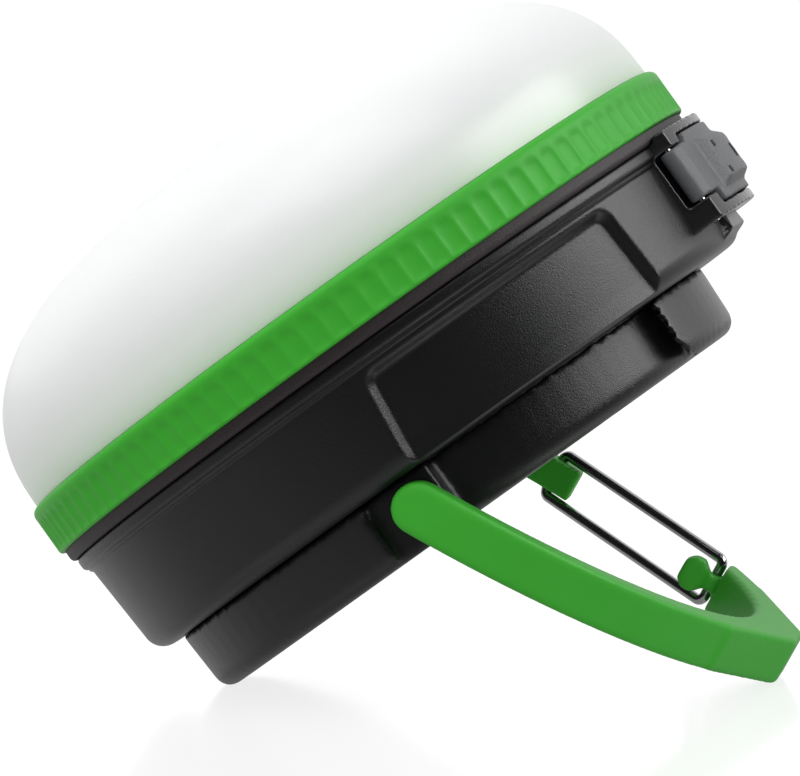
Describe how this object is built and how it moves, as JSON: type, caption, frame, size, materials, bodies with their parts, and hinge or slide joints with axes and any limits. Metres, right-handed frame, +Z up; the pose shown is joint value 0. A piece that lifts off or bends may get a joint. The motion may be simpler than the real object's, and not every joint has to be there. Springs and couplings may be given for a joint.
{
  "type": "camping lantern",
  "caption": "Domed rechargeable camping lantern leaning on a swing-out carabiner hook with a wire gate, with a covered charging port and a push button.",
  "frame": {"origin": "on the floor, under the middle of the leaning lamp's bounding box", "axes": "+Z up from the floor; +X towards the hook's tip and the charging port's side; +Y across, along the hook's axle"},
  "size_m": [0.1248, 0.12, 0.1066],
  "materials": {
    "frosted_diffuser": "frosted, slightly see-through",
    "green_plastic": "moulded satin green",
    "brown_rubber": "fine matte texture",
    "black_rubber": "matte",
    "black_plastic": "fine spark-eroded texture",
    "gloss_black_plastic": "smooth",
    "grey_rubber": "fine texture",
    "spring_steel": "drawn wire, bright",
    "plain_steel": "turned",
    "plated_shell": "plated",
    "green_laminate": "lacquered board",
    "white_laminate": "lacquered board",
    "white_plastic": "smooth white",
    "clear_pipe": "polished",
    "inner_black": "plain moulded",
    "amber_chip": "clear resin over phosphor",
    "cell_sleeve": "shrink sleeve"
  },
  "bodies": {
    "lamp": {"diffuser_dome": "frosted_diffuser", "bezel_ring": "green_plastic", "ring_seal": "brown_rubber", "upper_housing": "black_plastic", "base_tub": "black_plastic", "base_gasket": "black_rubber", "friction_washers": "black_rubber", "port_housing": "gloss_black_plastic", "cover_pin": "plain_steel", "usb_a_socket": "plated_shell", "micro_usb_socket": "plated_shell", "charge_board": "green_laminate", "charge_lamp": "clear_pipe", "switch_board": "green_laminate", "tact_switch": "inner_black", "reflector_plate": "white_plastic", "led_board": "white_laminate", "led_chips": "amber_chip", "lamp_screws": "plain_steel", "battery_cells": "cell_sleeve", "battery_holder": "inner_black", "base_magnets": "plated_shell", "base_screws": "plain_steel"},
    "hook": {"hook": "green_plastic", "hook_stub": "green_plastic", "hook_axle": "plain_steel"},
    "gate": {"gate_wire": "spring_steel"},
    "cover": {"port_cover": "grey_rubber"},
    "button": {"mode_button": "black_rubber"}
  },
  "joints": [
    {"name": "hook_swing", "type": "hinge", "parent": "lamp", "child": "hook", "pos_m": [0.01026, 0, 0.03239], "axis": [0, 1, 0], "range_deg": [-64.7, 40]},
    {"name": "gate_swing", "type": "hinge", "parent": "hook", "child": "gate", "pos_m": [0.01805, 0.05182, 0.02788], "axis": [0.5019, 0, 0.8649], "range_deg": [0, 40], "stiffness_Nm_per_rad": 0.02, "springref_deg": -5.73},
    {"name": "cover_swing", "type": "hinge", "parent": "lamp", "child": "cover", "pos_m": [0.0477, -0.0192, 0.07954], "axis": [0.57, 0, -0.8216], "range_deg": [0, 105]},
    {"name": "button_press", "type": "slide", "parent": "lamp", "child": "button", "axis": [0, -1, 0], "range_m": [0, 0.001], "stiffness_N_per_m": 1500, "springref_m": -0.0005}
  ]
}
